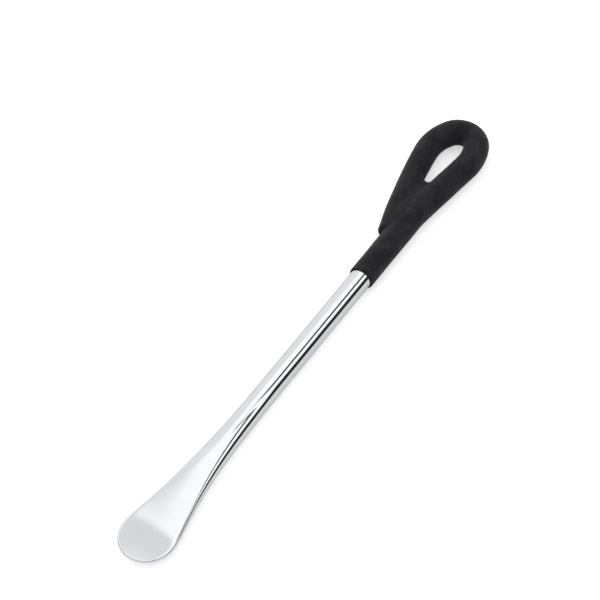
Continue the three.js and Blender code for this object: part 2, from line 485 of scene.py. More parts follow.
@dataclass
class BarLine:
    """The line that the middle of the bar follows, and how thick the bar is behind the blade.

    The eye is bent round until the end of the bar lies on the flank of the shank.
    """

    blade_length: float = 100.9
    bare_shank: float = 68.0
    sleeve: float = 37.5
    offset_bend: float = 7.2
    offset_radius: float = 76.0
    eye_flank: float = 31.5
    shoulder_radius: float = 23.0
    first_shoulder: float = 33.0
    last_shoulder: float = 39.5
    crown_radius: float = 7.9
    return_radius: float = 440.0
    return_length: float = 51.2
    shank_diameter: float = 9.5
    end_diameter: float = 7.9
    end_dome: float = 2.3
    scarf_depth: float = 5.17
    stretches: list[Stretch] = field(init=False)

    def __post_init__(self) -> None:
        """Bend the eye shut."""
        seat = self.radius + self.end_radius - self.scarf_depth
        wide, shut = 80.0, 170.0
        for _ in range(40):
            angle = (wide + shut) / 2
            self.stretches = self._bent(angle)
            if self.at(self.length)[0][1] > seat:
                wide = angle
            else:
                shut = angle

    def _bent(self, crown_bend: float) -> list[Stretch]:
        """Give the stretches of a bar whose crown is bent by a number of degrees."""
        return [
            Stretch(self.mouth_at + self.sleeve),
            Stretch(self.offset_radius * math.radians(self.offset_bend), -1 / self.offset_radius),
            Stretch(self.eye_flank),
            Stretch(self.shoulder_radius * math.radians(self.first_shoulder), 1 / self.shoulder_radius),
            Stretch(self.crown_radius * math.radians(crown_bend), 1 / self.crown_radius),
            Stretch(self.shoulder_radius * math.radians(self.last_shoulder), 1 / self.shoulder_radius),
            Stretch(self.return_length, 1 / self.return_radius),
        ]

    @property
    def radius(self) -> float:
        """Radius of the shank."""
        return self.shank_diameter / 2

    @property
    def end_radius(self) -> float:
        """Radius of the drawn-down end."""
        return self.end_diameter / 2

    @property
    def mouth_at(self) -> float:
        """Distance from the tip to the mouth of the grip."""
        return self.blade_length + self.bare_shank

    @property
    def length(self) -> float:
        """Length of the whole bar."""
        return sum(stretch.length for stretch in self.stretches)

    @property
    def eye_at(self) -> float:
        """Distance from the tip to the first bend."""
        return self.mouth_at + self.sleeve

    @property
    def crown_at(self) -> float:
        """Distance from the tip to the crown of the eye."""
        return sum(stretch.length for stretch in self.stretches[:4]) + self.stretches[4].length / 2

    def at(self, distance: float) -> tuple[np.ndarray, float]:
        """Find a place on the line.

        Args:
            distance: Distance from the tip, along the bar.

        Returns:
            The place, and the heading in radians.
        """
        x, y, heading, left = -self.mouth_at, 0.0, 0.0, distance
        for number, stretch in enumerate(self.stretches):
            last = number == len(self.stretches) - 1
            run = left if last else min(max(left, 0.0), stretch.length)
            turned = run * stretch.turn
            chord = run if turned == 0 else 2 * math.sin(turned / 2) / stretch.turn
            x += chord * math.cos(heading + turned / 2)
            y += chord * math.sin(heading + turned / 2)
            heading += turned
            left -= run
        return np.array([x, y, 0.0]), heading

    def radius_at(self, distance: float) -> float:
        """Radius of the bar at a distance from the tip, behind the blade."""
        drawn = smooth(self.crown_at, self.length, distance)
        return self.radius + (self.end_radius - self.radius) * drawn

    def steps(self, start: float, end: float, step: float) -> np.ndarray:
        """Distances from one place to another, evenly spaced and no further apart than a step."""
        return np.linspace(start, end, max(2, math.ceil((end - start) / step) + 1))


def height_on(handles: list[tuple[float, float]], x: float) -> float:
    """Read a cubic curve's height where its x is a given value.

    Args:
        handles: The curve's four points, whose x rises.
        x: Where it is read.

    Returns:
        The height there.
    """
    (x0, y0), (x1, y1), (x2, y2), (x3, y3) = handles
    low, high = 0.0, 1.0
    for _ in range(40):
        t = (low + high) / 2
        here = (1 - t) ** 3 * x0 + 3 * t * (1 - t) ** 2 * x1 + 3 * t * t * (1 - t) * x2 + t**3 * x3
        if here < x:
            low = t
        else:
            high = t
    return (1 - t) ** 3 * y0 + 3 * t * (1 - t) ** 2 * y1 + 3 * t * t * (1 - t) * y2 + t**3 * y3


@dataclass
class Blade:
    """The flattened front of the bar, as an outline, a face and a back with rolled edges."""

    line: BarLine
    width: float = 23.6
    nose: float = 12.4
    tip_thickness: float = 2.0
    tip_drop: float = 0.5
    back_flat: float = 40.0
    flare_front: float = 0.09
    flare_rear: float = 0.67
    face_front: float = 0.3
    face_rear: float = 0.5
    back_rise: float = 0.3
    bevel_slope: float = 0.05
    bevel_start: float = 13.0
    bevel_end: float = 19.0
    tip_edge: float = 0.42
    mid_edge: float = 0.62
    under_edge: float = 0.3
    edge_run: tuple[float, float] = (26.0, 52.0)
    crown: float = 0.12
    crown_run: tuple[float, float] = (6.0, 30.0)
    rounding_from: float = 48.0
    nose_rings: int = 22
    ring_step: float = 0.9

    def half_width(self, x: float) -> float:
        """Half the blade's width at a distance from its tip."""
        long, reach = self.line.blade_length, self.width / 2
        if x <= self.nose:
            return reach * math.sqrt(max(1 - (1 - x / self.nose) ** 2, 0))
        handles = [
            (self.nose, reach),
            (self.nose + self.flare_front * long, reach),
            (long - self.flare_rear * long, self.line.radius),
            (long, self.line.radius),
        ]
        return height_on(handles, x)

    def face(self, x: float) -> float:
        """Height of the face at a distance from the tip."""
        long, level = self.line.blade_length, self.tip_thickness / 2
        handles = [
            (0, level - self.tip_drop),
            (self.face_front * long, level),
            ((1 - self.face_rear) * long, self.line.radius),
            (long, self.line.radius),
        ]
        return height_on(handles, x) - self.bevel(x)

    def bevel(self, x: float) -> float:
        """How far the face is ground down towards the tip, eased off behind the nose."""
        ease = self.bevel_end - self.bevel_start
        if x < self.bevel_start:
            return self.bevel_slope * (self.bevel_start + ease / 2 - x)
        return self.bevel_slope * max(self.bevel_end - x, 0.0) ** 2 / (2 * ease)

    def back(self, x: float) -> float:
        """Height of the back at a distance from the tip."""
        long, level = self.line.blade_length, -self.tip_thickness / 2 - self.tip_drop
        if x <= self.back_flat:
            return level
        handles = [
            (self.back_flat, level),
            (self.back_flat + self.back_rise * long, level),
            (long - self.back_rise * long, -self.line.radius),
            (long, -self.line.radius),
        ]
        return height_on(handles, x)

    def rings(self) -> list[dict[str, float]]:
        """Describe the blade's sections from its tip to the round shank.

        Returns:
            For each, its distance, half width, the outline's normal, top, bottom, edges and flatness.
        """
        long = self.line.blade_length
        rings = []
        for angle in np.linspace(0, math.pi / 2, self.nose_rings, endpoint=False):
            rings.append((self.nose * (1 - math.cos(angle)), angle))
        for distance in self.line.steps(self.nose, long, self.ring_step):
            rings.append((float(distance), None))
        return [self._ring(distance, angle) for distance, angle in rings]

    def _ring(self, x: float, angle: float | None) -> dict[str, float]:
        """Describe one section; in the nose the outline is an ellipse, at an angle round it."""
        long = self.line.blade_length
        if angle is None:
            near = 0.05
            wider, narrower = self.half_width(min(x + near, long)), self.half_width(max(x - near, self.nose))
            slope = (wider - narrower) / (2 * near)
            normal = np.array([-slope, 1.0])
        else:
            normal = np.array([-math.cos(angle) / self.nose, math.sin(angle) * 2 / self.width])
        normal /= np.linalg.norm(normal)
        top, bottom = self.face(x), self.back(x)
        thickness = top - bottom
        heavy = smooth(*self.edge_run, x)
        return {
            "distance": x,
            "half": self.half_width(x),
            "lean": normal[0],
            "outward": normal[1],
            "top": top,
            "bottom": bottom,
            "top_edge": thickness * (self.tip_edge + (self.mid_edge - self.tip_edge) * heavy),
            "under_edge": thickness * self.under_edge,
            "flatness": 1 - smooth(self.rounding_from, long, x),
            "crown": self.crown * smooth(*self.crown_run, x),
        }


@dataclass
class BarSweep:
    """The geometry tree that carries one section along the bar's line."""

    wall_points: int = 2
    edge_points: int = 12
    face_points: int = 10
    doubles: float = 1e-7

    def section(self) -> bpy.types.Object:
        """Make the section as a loop of edges.

        Returns:
            The loop, whose points say where they lie on a round bar and on a flat one.
        """
        quarter = []
        for number in range(self.wall_points):
            quarter.append((1.0, number / self.wall_points, 1.0, 0.0))
        for number in range(self.edge_points):
            angle = math.pi / 2 * number / self.edge_points
            quarter.append((1.0, 1.0, math.cos(angle), math.sin(angle)))
        for number in range(self.face_points):
            quarter.append((1 - number / self.face_points, 1.0, 0.0, 1.0))
        mirrored = [(-a, b, -c, d) for a, b, c, d in [(0.0, 1.0, 0.0, 1.0), *reversed(quarter[1:])]]
        upper = quarter + mirrored
        lower = [(-a, -b, -c, -d) for a, b, c, d in upper]
        ring = np.array(upper + lower)
        count = len(ring)
        angles = np.arange(count) * 2 * math.pi / count
        circle = np.stack([np.cos(angles), np.sin(angles), np.zeros(count)], 1)
        facts = {"round_across": circle[:, 0], "round_up": circle[:, 1]}
        for column, name in enumerate(("flat_across", "flat_up", "edge_across", "edge_up")):
            facts[name] = ring[:, column]
        return polyline("bar_section", circle * MM, facts, closed=True)

    def tree(self) -> bpy.types.NodeTree:
        """Build the tree.

        Returns:
            A tree whose inputs are the section, the allowance, the seat, the caps and the material.
        """
        tree = bpy.data.node_groups.new("bar_sweep", "GeometryNodeTree")
        inputs = {
            "Line": "Geometry",
            "Section": "Object",
            "Allowance": "Float",
            "Seat Radius": "Float",
            "Caps": "Bool",
            "Material": "Material",
        }
        given = open_tree(tree, inputs, "Bar")

        def named(name: str, kind: str = "FLOAT") -> bpy.types.NodeSocket:
            """Read an attribute by its name."""
            node = add_node(tree, "GeometryNodeInputNamedAttribute", {"Name": name}, data_type=kind)
            return node.outputs["Attribute"]

        sum_of = partial(maths, tree)
        between = partial(mixed, tree)
        loop = add_node(tree, "GeometryNodeObjectInfo", {"Object": given["Section"]})
        profile = add_node(tree, "GeometryNodeMeshToCurve", {"Mesh": loop.outputs["Geometry"]})
        line = add_node(tree, "GeometryNodeMeshToCurve", {"Mesh": given["Line"]})
        inputs = {"Curve": line.outputs[0], "Profile Curve": profile.outputs[0], "Fill Caps": given["Caps"]}
        swept = add_node(tree, "GeometryNodeCurveToMesh", inputs)
        half = sum_of("ADD", named("half"), given["Allowance"])
        top = sum_of("ADD", named("top"), given["Allowance"])
        bottom = sum_of("SUBTRACT", named("bottom"), given["Allowance"])
        # On a flat bar a point lies on the rolled edge or on the face between the two edges.
        share = sum_of("MULTIPLY_ADD", named("flat_up"), 0.5, 0.5)
        roll = between(share, named("under_edge"), named("top_edge"))
        low_centre = sum_of("ADD", bottom, named("under_edge"))
        high_centre = sum_of("SUBTRACT", top, named("top_edge"))
        centre = between(share, low_centre, high_centre)
        flat_up = sum_of("MULTIPLY_ADD", named("edge_up"), roll, centre)
        doming = sum_of("MULTIPLY", named("flat_across"), named("flat_across"))
        upper = sum_of("GREATER_THAN", named("flat_up"), 0.5)
        doming = sum_of("MULTIPLY", sum_of("MULTIPLY", doming, upper), named("crown"))
        flat_up = sum_of("SUBTRACT", flat_up, doming)
        side_roll = sum_of("MULTIPLY", roll, named("outward"))
        inner = sum_of("SUBTRACT", half, side_roll)
        flat_across = sum_of("MULTIPLY", named("flat_across"), inner)
        flat_across = sum_of("MULTIPLY_ADD", named("edge_across"), side_roll, flat_across)
        reach = sum_of("SUBTRACT", sum_of("ABSOLUTE", named("edge_across"), 0.0), 1.0)
        forward = sum_of("MULTIPLY", sum_of("MULTIPLY", reach, roll), named("lean"))
        # On a round bar it lies on a circle.
        depth = sum_of("MULTIPLY", sum_of("SUBTRACT", top, bottom), 0.5)
        middle = sum_of("MULTIPLY", sum_of("ADD", top, bottom), 0.5)
        round_up = sum_of("MULTIPLY_ADD", named("round_up"), depth, middle)
        round_across = sum_of("MULTIPLY", named("round_across"), half)
        across = between(named("flatness"), round_across, flat_across)
        up = between(named("flatness"), round_up, flat_up)
        forward = sum_of("MULTIPLY", forward, named("flatness"))

        def scaled(vector: bpy.types.NodeSocket, factor: bpy.types.NodeSocket) -> bpy.types.NodeSocket:
            """Scale a vector by a number."""
            return vectors(tree, "SCALE", {0: vector, "Scale": factor}).outputs[0]

        def joined(first: bpy.types.NodeSocket, second: bpy.types.NodeSocket) -> bpy.types.NodeSocket:
            """Add two vectors."""
            return vectors(tree, "ADD", {0: first, 1: second}).outputs[0]

        lift = add_node(tree, "ShaderNodeCombineXYZ", {"Z": up}).outputs[0]
        place = joined(named("place", "FLOAT_VECTOR"), scaled(named("sideways", "FLOAT_VECTOR"), across))
        place = joined(joined(place, scaled(named("heading", "FLOAT_VECTOR"), forward)), lift)
        # The returning leg is scarfed: nothing of it comes nearer to the shank's middle than its seat.
        apart = add_node(tree, "ShaderNodeSeparateXYZ", {0: place}).outputs
        height_squared = sum_of("MULTIPLY", apart["Z"], apart["Z"])
        seat_squared = sum_of("MULTIPLY", given["Seat Radius"], given["Seat Radius"])
        room = sum_of("SQRT", sum_of("MAXIMUM", sum_of("SUBTRACT", seat_squared, height_squared), 0.0), 0.0)
        scarfed = sum_of("MAXIMUM", apart["Y"], room)
        sideways = between(named("is_leg"), apart["Y"], scarfed)
        spot = {"X": apart["X"], "Y": sideways, "Z": apart["Z"]}
        place = add_node(tree, "ShaderNodeCombineXYZ", spot).outputs[0]
        moved = add_node(tree, "GeometryNodeSetPosition", {"Geometry": swept.outputs[0], "Position": place})
        joint = {"Geometry": moved.outputs[0], "Distance": self.doubles}
        merged = add_node(tree, "GeometryNodeMergeByDistance", joint)
        close_tree(tree, given, merged.outputs[0], "Bar")
        return tree


@dataclass
class ForgedBar:
    """The whole bar: spoon blade, shank, eye and scarfed leg, as one piece of steel."""

    line: BarLine
    blade: Blade
    material: bpy.types.Material
    placed: Vector
    sweep: BarSweep = field(default_factory=BarSweep)
    shank_step: float = 3.0
    eye_step: float = 0.9
    dome_rings: int = 12
    seam_gap: float = 0.3
    room_lead: float = 3.0
    room_overlap: float = 0.5

    def __post_init__(self) -> None:
        """Make the section and the tree that every sweep shares."""
        self.section = self.sweep.section()
        self.tree = self.sweep.tree()

    def _round_ring(self, distance: float, radius: float) -> dict[str, float]:
        """Describe a round section."""
        return {
            "distance": distance,
            "half": radius,
            "lean": 0.0,
            "outward": 1.0,
            "top": radius,
            "bottom": -radius,
            "top_edge": radius,
            "under_edge": radius,
            "flatness": 0.0,
            "crown": 0.0,
        }

    def _round_rings(self, start: float, end: float) -> list[dict[str, float]]:
        """Describe the round bar from one distance to another, with finer rings in the eye."""
        straight = min(max(self.line.eye_at, start), end)
        distances = list(self.line.steps(start, straight, self.shank_step)) if straight > start else [start]
        if end > straight:
            distances += list(self.line.steps(straight, end, self.eye_step)[1:])
        return [self._round_ring(float(d), self.line.radius_at(float(d))) for d in distances]

    def _dome(self, full_at: float) -> list[dict[str, float]]:
        """Describe the rounded end of the leg."""
        rings = []
        for number in range(1, self.dome_rings + 1):
            angle = math.pi / 2 * number / self.dome_rings
            distance = full_at + self.line.end_dome * math.sin(angle)
            rings.append(self._round_ring(distance, self.line.end_radius * math.cos(angle)))
        return rings

    def _swept(self, name: str, rings: list[dict[str, float]], **values: object) -> bpy.types.Object:
        """Sweep the section through rings along the line.

        Args:
            name: The new object's name.
            rings: The sections, in order.
            values: The tree's other inputs, in the tree's own names with _ for a space.

        Returns:
            The swept solid, on the lever's own axes.
        """
        spots = [self.line.at(ring["distance"]) for ring in rings]
        places = np.array([place for place, _ in spots])
        headings = np.array([heading for _, heading in spots])
        none = np.zeros(len(rings))
        facts: dict[str, np.ndarray] = {
            "place": places * MM,
            "heading": np.stack([np.cos(headings), np.sin(headings), none], 1),
            "sideways": np.stack([-np.sin(headings), np.cos(headings), none], 1),
            "is_leg": np.array([float(ring["distance"] > self.line.crown_at) for ring in rings]),
        }
        for fact in ("half", "top", "bottom", "top_edge", "under_edge", "crown"):
            facts[fact] = np.array([ring[fact] for ring in rings]) * MM
        for fact in ("lean", "outward", "flatness"):
            facts[fact] = np.array([ring[fact] for ring in rings])
        piece = polyline(name, places * MM, facts)
        given = {key.replace("_", " "): value for key, value in values.items()}
        return shaped(piece, self.tree, {"Section": self.section, "Material": self.material, **given})

    def build(self) -> bpy.types.Object:
        """Forge the bar from its tip to the end of its leg.

        Returns:
            The bar, in place on the frame.
        """
        full_at = self.line.length - self.line.end_dome
        rings = self.blade.rings()[:-1]
        rings += self._round_rings(self.line.blade_length, full_at) + self._dome(full_at)
        seat = (self.line.radius + self.seam_gap) * MM
        bar = self._swept("forged_bar", rings, Seat_Radius=seat)
        bar.data.transform(Matrix.Translation(self.placed))
        return bar

    def rooms(self, allowance: float) -> list[bpy.types.Object]:
        """Make the room that the rear of the bar takes up, as two solids that cut other pieces.

        Args:
            allowance: How far the room stands off the bar.

        Returns:
            The room of the flank, open past the mouth, and the room of the leg.
        """
        full_at = self.line.length - self.line.end_dome
        flank = self._round_rings(self.line.mouth_at - self.room_lead, self.line.crown_at + self.room_overlap)
        leg = self._round_rings(self.line.crown_at - self.room_overlap, full_at)
        dome = self._dome(full_at + allowance)[:-1]
        cuts = {"Caps": True, "Allowance": allowance * MM}
        return [self._swept("flank_room", flank, **cuts), self._swept("leg_room", leg + dome, **cuts)]


# ---- The weld ----


@dataclass
class WeldBead:
    """One fillet of weld in the valley between the scarfed leg and the shank."""

    line: BarLine
    side: Side
    material: bpy.types.Material
    placed: Vector
    length: float = 18.0
    width: float = 5.2
    height: float = 4.4
    sink: float = 0.35
    setback: float = 13.0
    ripple_pitch: float = 1.1
    ripple_height: float = 0.12
    ripple_bow: float = 0.18

    def place(self) -> Matrix:
        """Give the bead's own axes on the lever: its middle, turned along the seam."""
        middle = self.line.at(self.line.length - self.setback)[0]
        end = self.line.at(self.line.length)[0]
        seam = math.atan2(middle[1] - end[1], middle[0] - end[0]) / 2
        height = self.line.radius - self.sink - self.height / 2
        spot = Vector((middle[0], middle[1] / 2, self.side.value * height)) * MM
        return Matrix.Translation(spot) @ Matrix.Rotation(seam, 4, "Z")

    def tree(self) -> bpy.types.NodeTree:
        """Build the tree that lays the bead down as a row of ripples.

        Returns:
            A tree whose inputs are the bead's sizes, the ripples and the material.
        """
        tree = bpy.data.node_groups.new("weld_bead", "GeometryNodeTree")
        inputs = {
            "Blank": "Geometry",
            "Size": "Vector",
            "Ripple Pitch": "Float",
            "Ripple Height": "Float",
            "Material": "Material",
        }
        given = open_tree(tree, inputs, "Bead")
        ball = add_node(tree, "GeometryNodeMeshUVSphere", {"Segments": 48, "Rings": 40, "Radius": 0.5})
        quarter = (0.0, math.pi / 2, 0.0)
        lying = {"Geometry": ball.outputs["Mesh"], "Rotation": quarter}
        turned = add_node(tree, "GeometryNodeTransform", lying)
        sizing = {"Geometry": turned.outputs[0], "Scale": given["Size"]}
        sized = add_node(tree, "GeometryNodeTransform", sizing)
        spot = add_node(tree, "GeometryNodeInputPosition").outputs[0]
        apart = add_node(tree, "ShaderNodeSeparateXYZ", {0: spot}).outputs
        # Each pool of weld sets as an arc, so the ripples bow backwards away from the middle.
        bow = maths(tree, "POWER", apart["Y"], 2.0)
        bowed = maths(tree, "MULTIPLY_ADD", bow, self.ripple_bow / MM, apart["X"])
        turns = maths(tree, "DIVIDE", bowed, given["Ripple Pitch"])
        wave = maths(tree, "SINE", maths(tree, "MULTIPLY", turns, 2 * math.pi))
        height = maths(tree, "MULTIPLY", wave, given["Ripple Height"])
        normal = add_node(tree, "GeometryNodeInputNormal").outputs[0]
        step = vectors(tree, "SCALE", {0: normal, "Scale": height})
        lifted = {"Geometry": sized.outputs[0], "Offset": step.outputs[0]}
        rippled = add_node(tree, "GeometryNodeSetPosition", lifted)
        close_tree(tree, given, rippled.outputs[0], "Bead")
        return tree

    def blank(self, name: str, allowance: float, ripple: float) -> bpy.types.Object:
        """Lay down the uncut bead.

        Args:
            name: The new object's name.
            allowance: How far it is swollen.
            ripple: Height of its ripples.

        Returns:
            The bead, on the lever's own axes.
        """
        sizes = [(size + 2 * allowance) * MM for size in (self.length, self.width, self.height)]
        values = {
            "Size": sizes,
            "Ripple Pitch": self.ripple_pitch * MM,
            "Ripple Height": ripple * MM,
            "Material": self.material,
        }
        piece = shaped(polyline(name, np.zeros((2, 3)), {}), self.tree(), values)
        piece.data.transform(self.place())
        return piece

    def build(self, rooms: list[bpy.types.Object]) -> bpy.types.Object:
        """Make the bead and cut the bar's room out of it.

        Args:
            rooms: The room that the bar takes up.

        Returns:
            The bead, in place on the frame.
        """
        name = f"weld_bead_{self.side.name.lower()}"
        bead = carved(self.blank(name, 0.0, self.ripple_height), rooms)
        bead.data.transform(Matrix.Translation(self.placed))
        return bead


# ---- The grip ----


def joined_softly(first: np.ndarray, second: np.ndarray, fillet: np.ndarray | float) -> np.ndarray:
    """Join two solids, given by their distances, with a soft fillet between them."""
    reach = np.maximum(fillet, 1e-6)
    share = np.clip(0.5 + 0.5 * (second - first) / reach, 0.0, 1.0)
    return second + (first - second) * share - reach * share * (1 - share)


def common_softly(first: np.ndarray, second: np.ndarray, round_off: float) -> np.ndarray:
    """Keep what two solids share, with the edge between them rounded off."""
    return -joined_softly(-first, -second, round_off)


@dataclass
class DippedGrip:
    """The vinyl coat: all that lies within the coat's thickness of the bar, and what bridges it."""

    line: BarLine
    beads: list[WeldBead]
    material: bpy.types.Material
    placed: Vector
    coat: float = 0.8
    end_thinning: float = 0.4
    end_thinning_run: float = 14.0
    web_thickness: float = 6.4
    web_reach: float = 24.0
    web_hollow: float = 1.2
    web_setback: float = 2.4
    web_slant: float = 5.4
    web_fillet: float = 1.8
    valley_fillet: float = 2.0
    web_edge_fillet: float = 2.0
    web_fade: tuple[float, float] = (-3.0, 7.0)
    end_fade: tuple[float, float] = (-1.5, 8.0)
    valley_floor: float = 0.25
    bead_fillet: float = 1.2
    mouth_roll: float = 0.84
    mouth_lead: float = 4.0
    chain_step: float = 1.6
    web_step: float = 2.0
    web_past: float = 8.0
    cell: float = 0.36
    bore_gap: float = 0.06
    bead_gap: float = 0.15
    wave_size: float = 9.0
    wave_height: float = 0.07
    grit_size: float = 0.8
    grit_height: float = 0.035
    smooth_lip: float = 2.5
    lip_share: float = 0.3

    def _chain(self, start: float, end: float) -> np.ndarray:
        """Points along the bar with the coat's outer radius, one row each."""
        rows = []
        for distance in self.line.steps(start, end, self.chain_step):
            rows.append([*self.line.at(float(distance))[0], self._skin_radius(float(distance))])
        return np.array(rows)

    def _skin_radius(self, distance: float) -> float:
        """Radius of the coated bar; the vinyl drains thin towards the end of the leg."""
        full_at = self.line.length - self.line.end_dome
        thinned = self.end_thinning * smooth(full_at - self.end_thinning_run, full_at, distance)
        return self.line.radius_at(distance) + self.coat - thinned

    def _tube(self, spots: np.ndarray, chain: np.ndarray) -> np.ndarray:
        """Distance from the skin of a tube that follows a chain of points.

        Args:
            spots: Where it is worked out, one row each.
            chain: The tube's points and radii.

        Returns:
            One distance for each spot, below zero inside.
        """
        nearest = np.full(len(spots), 1e9)
        for (ax, ay, _, a_radius), (bx, by, _, b_radius) in zip(chain[:-1], chain[1:]):
            run = np.array([bx - ax, by - ay])
            across = spots[:, :2] - (ax, ay)
            share = np.clip(across @ run / (run @ run), 0, 1)
            off = across - share[:, None] * run
            gap = np.sqrt((off**2).sum(1) + spots[:, 2] ** 2) - (a_radius + (b_radius - a_radius) * share)
            nearest = np.minimum(nearest, gap)
        return nearest

    def _from_end(self, spots: np.ndarray) -> tuple[np.ndarray, np.ndarray]:
        """Place spots by the last full section of the leg.

        Args:
            spots: Where they are, one row each.

        Returns:
            How far each lies past that section, and how far beside the leg's line.
        """
        place, heading = self.line.at(self.line.length - self.line.end_dome)
        off_x, off_y = spots[:, 0] - place[0], spots[:, 1] - place[1]
        ahead = off_x * math.cos(heading) + off_y * math.sin(heading)
        return ahead, off_y * math.cos(heading) - off_x * math.sin(heading)

    def _leg_end(self, spots: np.ndarray) -> np.ndarray:
        """Distance from the blunt, rounded end of the coated leg."""
        ahead, aside = self._from_end(spots)
        radius = self._skin_radius(self.line.length - self.line.end_dome)
        blunt = radius / (self.line.end_dome + self.coat - self.end_thinning)
        return np.sqrt((ahead * blunt) ** 2 + aside**2 + spots[:, 2] ** 2) - radius

    def _centres(self, start: float, end: float) -> np.ndarray:
        """Points on the bar's line from one distance to another."""
        return np.array([self.line.at(float(d))[0] for d in self.line.steps(start, end, self.web_step)])

    def _web(self, spots: np.ndarray) -> np.ndarray:
        """Distance from the vinyl that bridges the crotch of the eye."""
        end_x = self.line.at(self.line.length)[0][0]
        edge_at = self.line.eye_at + self.web_reach
        flank = self._centres(self.line.mouth_at, edge_at + self.web_past)
        leg = self._centres(self.line.crown_at, self.line.length)
        low = np.interp(spots[:, 0], flank[:, 0], flank[:, 1])
        high = np.interp(spots[:, 0], leg[::-1, 0], leg[::-1, 1])
        flank_end = self.line.at(edge_at)[0]
        middle = (low + high) / 2
        half_gap = np.maximum((high - low) / 2, 0.5)
        beside = np.clip((spots[:, 1] - middle) / half_gap, -1, 1)
        hollow = self.web_hollow * (1 - beside**2)
        slant = self.web_slant * (1 + beside) / 2
        edge = spots[:, 0] - (flank_end[0] - self.web_setback - hollow + slant)
        side = np.maximum(low - spots[:, 1], spots[:, 1] - high)
        slab = common_softly(np.abs(spots[:, 2]) - self.web_thickness / 2, edge, self.web_edge_fillet)
        return np.maximum(np.maximum(slab, side), end_x - spots[:, 0])

    def _bead_cover(self, spots: np.ndarray, bead: WeldBead) -> np.ndarray:
        """Distance from the coat over a bead of weld."""
        turn = np.array(bead.place().inverted())
        local = spots @ turn[:3, :3].T + turn[:3, 3] / MM
        half = np.array([bead.length, bead.width, bead.height]) / 2 + self.coat
        scaled = np.linalg.norm(local / half, axis=1)
        steep = np.maximum(np.linalg.norm(local / half**2, axis=1), 1e-6)
        return scaled * (scaled - 1) / steep

    def distance(self, spots: np.ndarray) -> np.ndarray:
        """Distance of spots from the skin of the coat.

        Args:
            spots: One row each, on the lever's own axes.

        Returns:
            One distance for each spot, below zero inside the coat.
        """
        line = self.line
        flank = self._tube(spots, self._chain(line.mouth_at - self.mouth_lead, line.crown_at))
        leg = self._tube(spots, self._chain(line.crown_at, line.length - line.end_dome))
        leg = np.where(self._from_end(spots)[0] > 0, self._leg_end(spots), leg)
        web_edge = line.at(line.eye_at + self.web_reach)[0][0]
        fade = 1 - smooth(web_edge + self.web_fade[0], web_edge + self.web_fade[1], spots[:, 0])
        near_end = smooth(*self.end_fade, spots[:, 0] - line.at(line.length)[0][0])
        valley = self.valley_floor + (1 - self.valley_floor) * near_end
        coat = joined_softly(flank, leg, self.valley_fillet * fade * valley)
        coat = joined_softly(coat, self._web(spots), self.web_fillet * fade * near_end)
        for bead in self.beads:
            coat = joined_softly(coat, self._bead_cover(spots, bead), self.bead_fillet)
        return common_softly(coat, -spots[:, 0], self.mouth_roll)

    def _grid(self) -> tuple[np.ndarray, np.ndarray]:
        """Work out the distances on a grid of cells round the coat.

        Returns:
            The distances, and the grid's lowest corner.
        """
        crown = self.line.at(self.line.crown_at)[0]
        swell = self.line.radius + self.coat + 3 * self.cell
        chain = self._chain(self.line.mouth_at, self.line.length)
        low = np.array([-3 * self.cell, chain[:, 1].min() - swell, -swell])
        high = np.array([crown[0] + swell, chain[:, 1].max() + swell, swell])
        counts = np.ceil((high - low) / self.cell).astype(int) + 1
        axes = [low[axis] + np.arange(counts[axis]) * self.cell for axis in range(3)]
        spots = np.stack(np.meshgrid(*axes, indexing="ij"), -1).reshape(-1, 3)
        return self.distance(spots).reshape(counts), low

    def _net(self) -> tuple[np.ndarray, np.ndarray]:
        """Stretch a net of four-sided faces over the skin.

        Returns:
            The net's points, and the four points of each face.
        """
        values, low = self._grid()
        cells = tuple(n - 1 for n in values.shape)
        total = np.zeros((*cells, 3))
        count = np.zeros(cells)
        crossings = []
        for axis in range(3):
            near = np.take(values, range(values.shape[axis] - 1), axis)
            far = np.take(values, range(1, values.shape[axis]), axis)
            crosses = (near < 0) != (far < 0)
            share = np.where(crosses, near / np.where(near == far, 1, near - far), 0)
            counts = [np.arange(n) for n in near.shape]
            spot = np.stack(np.meshgrid(*counts, indexing="ij"), -1).astype(float)
            spot[..., axis] += share
            others = [other for other in range(3) if other != axis]
            for first in (0, 1):
                for second in (0, 1):
                    window = [slice(None)] * 3
                    window[others[0]] = slice(first, cells[others[0]] + first)
                    window[others[1]] = slice(second, cells[others[1]] + second)
                    inside = crosses[tuple(window)]
                    total += spot[tuple(window)] * inside[..., None]
                    count += inside
            crossings.append((crosses, near < 0))
        used = count > 0
        number = np.full(cells, -1)
        number[used] = np.arange(used.sum())
        points = total[used] / count[used][:, None] * self.cell + low
        faces = []
        for axis, (crosses, inward) in enumerate(crossings):
            first, second = [(axis + 1) % 3, (axis + 2) % 3]
            where = np.argwhere(crosses)
            corners = []
            for step_first, step_second in ((1, 1), (0, 1), (0, 0), (1, 0)):
                corner = where.copy()
                corner[:, first] -= step_first
                corner[:, second] -= step_second
                corners.append(number[tuple(corner.T)])
            quad = np.stack(corners, 1)
            flip = ~inward[tuple(where.T)]
            quad[flip] = quad[flip][:, ::-1]
            faces.append(quad)
        return points, np.concatenate(faces)

    def _drawn_to_skin(self, points: np.ndarray) -> tuple[np.ndarray, np.ndarray]:
        """Move a net's points onto the skin.

        Args:
            points: The net's points.

        Returns:
            The points on the skin, and the skin's outward direction at each.
        """
        tiny = 0.02
        for _ in range(3):
            here = self.distance(points)
            slope = np.zeros_like(points)
            for axis in range(3):
                step = np.zeros(3)
                step[axis] = tiny
                slope[:, axis] = (self.distance(points + step) - here) / tiny
            steep = np.maximum((slope**2).sum(1), 0.05)
            points = points - slope * (here / steep)[:, None]
        return points, slope / np.sqrt(steep)[:, None]

